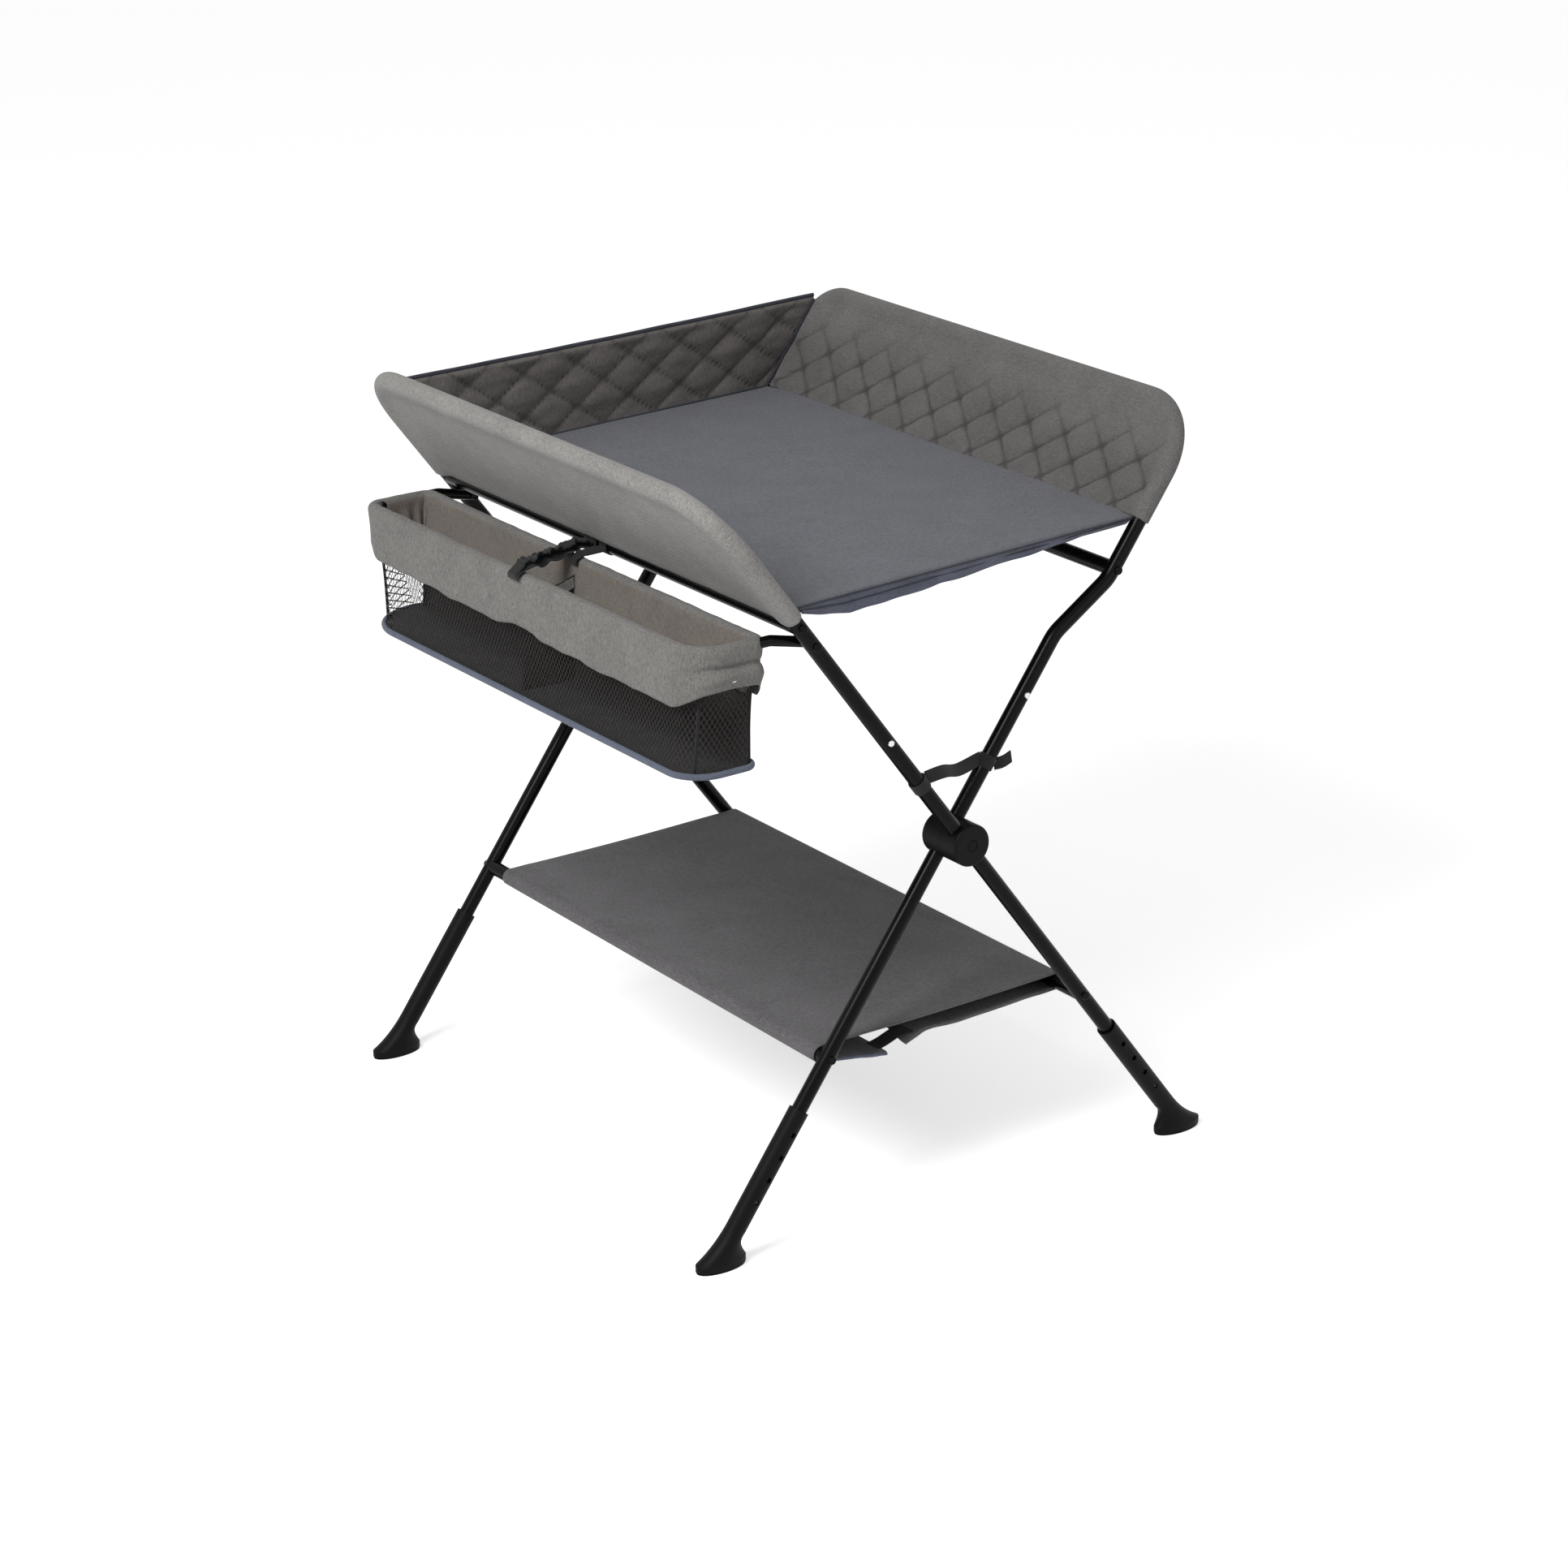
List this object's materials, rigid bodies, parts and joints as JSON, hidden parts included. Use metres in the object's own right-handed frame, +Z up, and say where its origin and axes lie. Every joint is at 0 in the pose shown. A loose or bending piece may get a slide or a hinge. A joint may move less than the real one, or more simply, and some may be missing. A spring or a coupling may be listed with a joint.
{
  "type": "changing table",
  "caption": "Folding changing table on two crossed tube frames, with a walled padded top, a cloth shelf, a side basket and extending feet.",
  "frame": {"origin": "bottom centre of the bounding box, on the floor under the table", "axes": "+Z up; +Y away from the user at the open short side; +X to the right, with the basket on the -X side"},
  "size_m": [0.7732, 0.8318, 0.9591],
  "materials": {
    "coated_steel": "black satin powder coat",
    "blackened_steel": "black oxide",
    "black_nylon": "moulded, fine matt texture",
    "sole_rubber": "moulded rubber",
    "zinc": "zinc plated, rounded",
    "black_zinc": "black zinc plated",
    "spring_steel": "blued leaf spring",
    "wall_fabric": "heather grey woven cloth over padding",
    "quilted_fabric": "diamond-quilted grey cloth",
    "mat_canvas": "close-woven bluish grey canvas",
    "shelf_canvas": "close-woven grey canvas",
    "slate_binding": "slate blue woven binding",
    "black_webbing": "woven webbing",
    "black_net": "knitted net",
    "basket_floor_cloth": "dark coated cloth"
  },
  "bodies": {
    "left_frame": {"left_rail_tube": "coated_steel", "left_cross_tube": "coated_steel", "right_shelf_tube": "coated_steel", "left_frame_screws": "blackened_steel", "left_frame_end_plugs": "black_nylon", "left_button_springs": "spring_steel", "left_wall_cover": "wall_fabric", "left_frame_front_leg": "coated_steel", "left_frame_rear_leg": "coated_steel", "left_front_hub": "black_nylon", "left_rear_hub": "black_nylon", "hub_bolts": "blackened_steel", "hub_nuts": "blackened_steel", "mattress_pad": "mat_canvas", "rear_wall_panel": "quilted_fabric", "rear_panel_piping": "slate_binding", "front_hem": "slate_binding", "shelf_cloth": "shelf_canvas", "shelf_tabs": "black_webbing", "limiter_strap": "black_webbing", "basket_pivot_screws": "blackened_steel", "basket_outer_strap": "black_webbing", "basket_inner_strap": "black_webbing"},
    "right_frame": {"right_rail_tube": "coated_steel", "right_cross_tube": "coated_steel", "left_shelf_tube": "coated_steel", "right_frame_screws": "blackened_steel", "right_frame_end_plugs": "black_nylon", "right_button_springs": "spring_steel", "right_wall_cover": "wall_fabric", "right_frame_front_leg": "coated_steel", "right_frame_rear_leg": "coated_steel", "right_front_hub": "black_nylon", "right_rear_hub": "black_nylon"},
    "basket": {"basket_frame_tube": "coated_steel", "basket_inner_rod": "coated_steel", "basket_rim_band": "wall_fabric", "basket_mesh": "black_net", "basket_base": "basket_floor_cloth", "basket_base_piping": "slate_binding", "basket_divider": "black_net", "basket_press_studs": "zinc"},
    "front_right_foot": {"front_right_extension": "black_nylon", "front_right_sole": "sole_rubber"},
    "left_frame_front_button_body": {"left_frame_front_button": "zinc"},
    "front_right_height_button_body": {"front_right_height_button": "black_zinc"},
    "rear_right_foot": {"rear_right_extension": "black_nylon", "rear_right_sole": "sole_rubber"},
    "left_frame_rear_button_body": {"left_frame_rear_button": "zinc"},
    "rear_right_height_button_body": {"rear_right_height_button": "black_zinc"},
    "front_left_foot": {"front_left_extension": "black_nylon", "front_left_sole": "sole_rubber"},
    "right_frame_front_button_body": {"right_frame_front_button": "zinc"},
    "front_left_height_button_body": {"front_left_height_button": "black_zinc"},
    "rear_left_foot": {"rear_left_extension": "black_nylon", "rear_left_sole": "sole_rubber"},
    "right_frame_rear_button_body": {"right_frame_rear_button": "zinc"},
    "rear_left_height_button_body": {"rear_left_height_button": "black_zinc"}
  },
  "joints": [
    {"name": "fold", "type": "hinge", "parent": "left_frame", "child": "right_frame", "pos_m": [-0.00643, 0, 0.47], "axis": [0, -1, 0], "range_deg": [0, 68], "deforming": ["mattress_pad", "rear_wall_panel", "rear_panel_piping", "front_hem", "shelf_cloth", "shelf_tabs", "limiter_strap"]},
    {"name": "basket_lift", "type": "hinge", "parent": "left_frame", "child": "basket", "pos_m": [-0.22176, 0, 0.761], "axis": [0, 1, 0], "range_deg": [0, 10], "deforming": ["basket_outer_strap", "basket_inner_strap"]},
    {"name": "front_right_extend", "type": "slide", "parent": "left_frame", "child": "front_right_foot", "axis": [0.5948, 0, -0.8039], "range_m": [0, 0.09]},
    {"name": "left_frame_front_button_press", "type": "slide", "parent": "left_frame", "child": "left_frame_front_button_body", "axis": [0, 1, 0], "range_m": [0, 0.004], "stiffness_N_per_m": 400},
    {"name": "front_right_height_button_press", "type": "slide", "parent": "left_frame", "child": "front_right_height_button_body", "axis": [0, 1, 0], "range_m": [0, 0.004], "stiffness_N_per_m": 400},
    {"name": "rear_right_extend", "type": "slide", "parent": "left_frame", "child": "rear_right_foot", "axis": [0.5948, 0, -0.8039], "range_m": [0, 0.09]},
    {"name": "left_frame_rear_button_press", "type": "slide", "parent": "left_frame", "child": "left_frame_rear_button_body", "axis": [0, -1, 0], "range_m": [0, 0.004], "stiffness_N_per_m": 400},
    {"name": "rear_right_height_button_press", "type": "slide", "parent": "left_frame", "child": "rear_right_height_button_body", "axis": [0, -1, 0], "range_m": [0, 0.004], "stiffness_N_per_m": 400},
    {"name": "front_left_extend", "type": "slide", "parent": "right_frame", "child": "front_left_foot", "axis": [-0.5948, 0, -0.8039], "range_m": [0, 0.09]},
    {"name": "right_frame_front_button_press", "type": "slide", "parent": "right_frame", "child": "right_frame_front_button_body", "axis": [0, 1, 0], "range_m": [0, 0.004], "stiffness_N_per_m": 400},
    {"name": "front_left_height_button_press", "type": "slide", "parent": "right_frame", "child": "front_left_height_button_body", "axis": [0, 1, 0], "range_m": [0, 0.004], "stiffness_N_per_m": 400},
    {"name": "rear_left_extend", "type": "slide", "parent": "right_frame", "child": "rear_left_foot", "axis": [-0.5948, 0, -0.8039], "range_m": [0, 0.09]},
    {"name": "right_frame_rear_button_press", "type": "slide", "parent": "right_frame", "child": "right_frame_rear_button_body", "axis": [0, -1, 0], "range_m": [0, 0.004], "stiffness_N_per_m": 400},
    {"name": "rear_left_height_button_press", "type": "slide", "parent": "right_frame", "child": "rear_left_height_button_body", "axis": [0, -1, 0], "range_m": [0, 0.004], "stiffness_N_per_m": 400}
  ]
}
